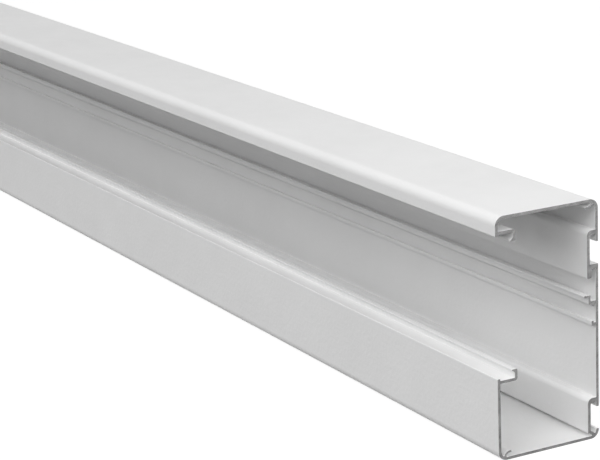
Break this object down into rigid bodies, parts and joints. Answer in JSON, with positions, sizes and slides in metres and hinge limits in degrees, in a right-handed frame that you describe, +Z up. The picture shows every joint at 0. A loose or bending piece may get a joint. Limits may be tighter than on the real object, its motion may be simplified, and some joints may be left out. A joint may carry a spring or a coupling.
{
  "type": "aluminium wall trunking",
  "caption": "Straight extruded aluminium wall trunking base with an open front between two inward cover seats, rear grooves and an inside rail, white lacquered.",
  "frame": {"origin": "middle of the underside, halfway along the length and halfway between the front face and the rear plane", "axes": "+X along the length, +Y towards the wall it is fixed to (the open front faces -Y), +Z up"},
  "size_m": [2, 0.063, 0.13],
  "materials": {
    "white_lacquer": "satin white lacquer on extruded aluminium, sawn ends bare"
  },
  "bodies": {
    "root": {"trunking_base": "white_lacquer"}
  },
  "joints": []
}
